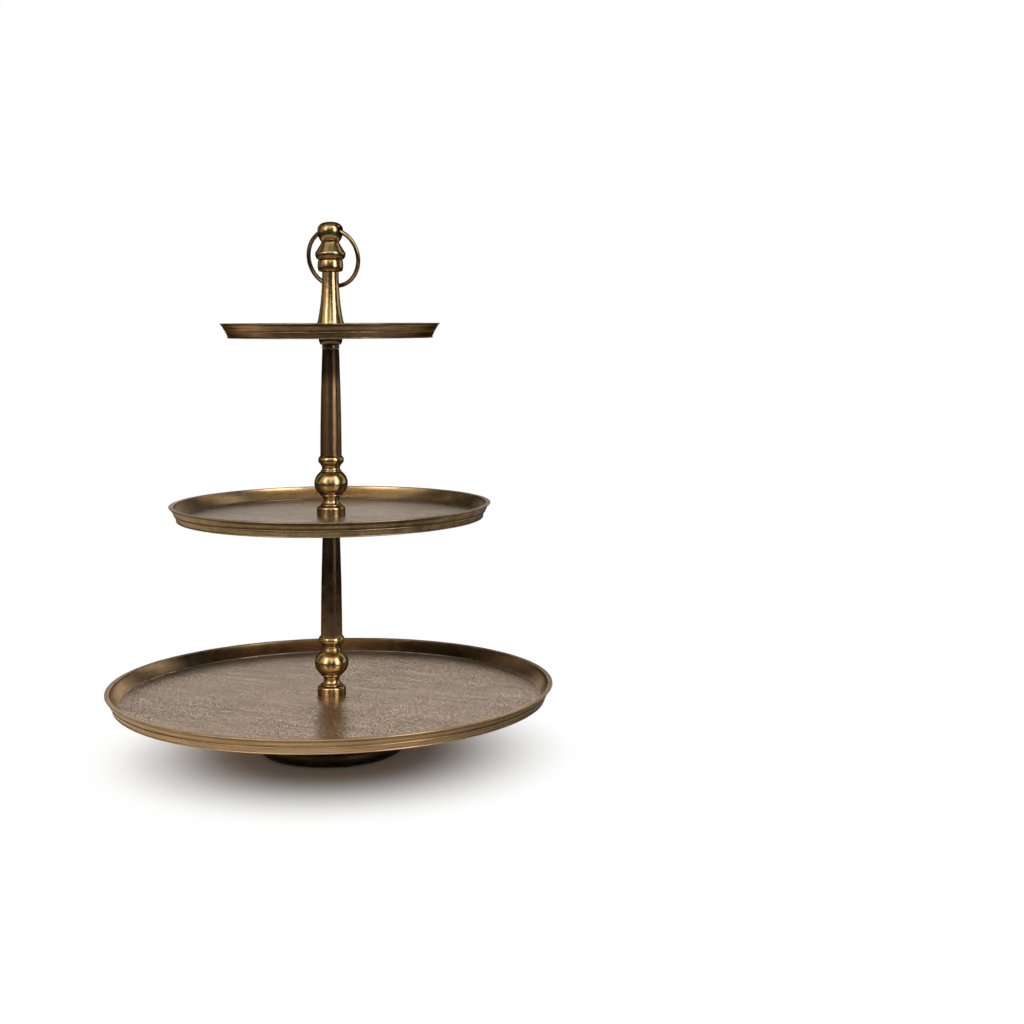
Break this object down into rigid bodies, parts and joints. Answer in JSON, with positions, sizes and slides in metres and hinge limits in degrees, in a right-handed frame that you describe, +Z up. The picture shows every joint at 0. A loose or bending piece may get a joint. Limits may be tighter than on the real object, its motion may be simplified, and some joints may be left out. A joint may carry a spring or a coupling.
{
  "type": "three tier tray stand",
  "caption": "Round tray stand in antique brass finish: trays of shrinking size on turned columns over a round foot, with a finial and a loose ring handle.",
  "frame": {"origin": "centre of the foot on the surface that the stand rests on", "axes": "+Z up along the column; X runs along the hole that the ring hangs in; the ring leans back towards +Y"},
  "size_m": [0.4999, 0.5, 0.5978],
  "materials": {
    "tray_metal": "cast aluminium plated in antique brass, matt speckled floor and worn lip",
    "foot_metal": "cast aluminium in dark antique brass, satin",
    "turned_metal": "turned aluminium in antique brass, polished on the high parts and dark in the grooves",
    "shaft_metal": "turned aluminium tube in dark antique brass, polished along its length",
    "finial_metal": "cast aluminium in antique brass, polished over a slightly rough casting",
    "ring_brass": "aged brass wire, polished on its outside",
    "fastener_steel": "zinc-plated steel",
    "felt": "pressed felt"
  },
  "bodies": {
    "stand": {"foot_pad_1": "felt", "foot_pad_2": "felt", "foot_pad_3": "felt", "foot_pad_4": "felt", "foot": "foot_metal", "base_washer": "fastener_steel", "base_bolt": "fastener_steel", "tray_large": "tray_metal", "lower_baluster": "turned_metal", "lower_tie_rod": "fastener_steel", "lower_shaft": "shaft_metal", "lower_capital": "turned_metal", "tray_middle": "tray_metal", "upper_baluster": "turned_metal", "upper_tie_rod": "fastener_steel", "upper_shaft": "shaft_metal", "upper_capital": "turned_metal", "tray_top": "tray_metal", "finial": "finial_metal"},
    "handle_ring": {"ring": "ring_brass"}
  },
  "joints": [
    {"name": "ring_swing", "type": "hinge", "parent": "stand", "child": "handle_ring", "pos_m": [0, 0, 0.5872], "axis": [1, 0, 0], "range_deg": [0, 336]}
  ]
}
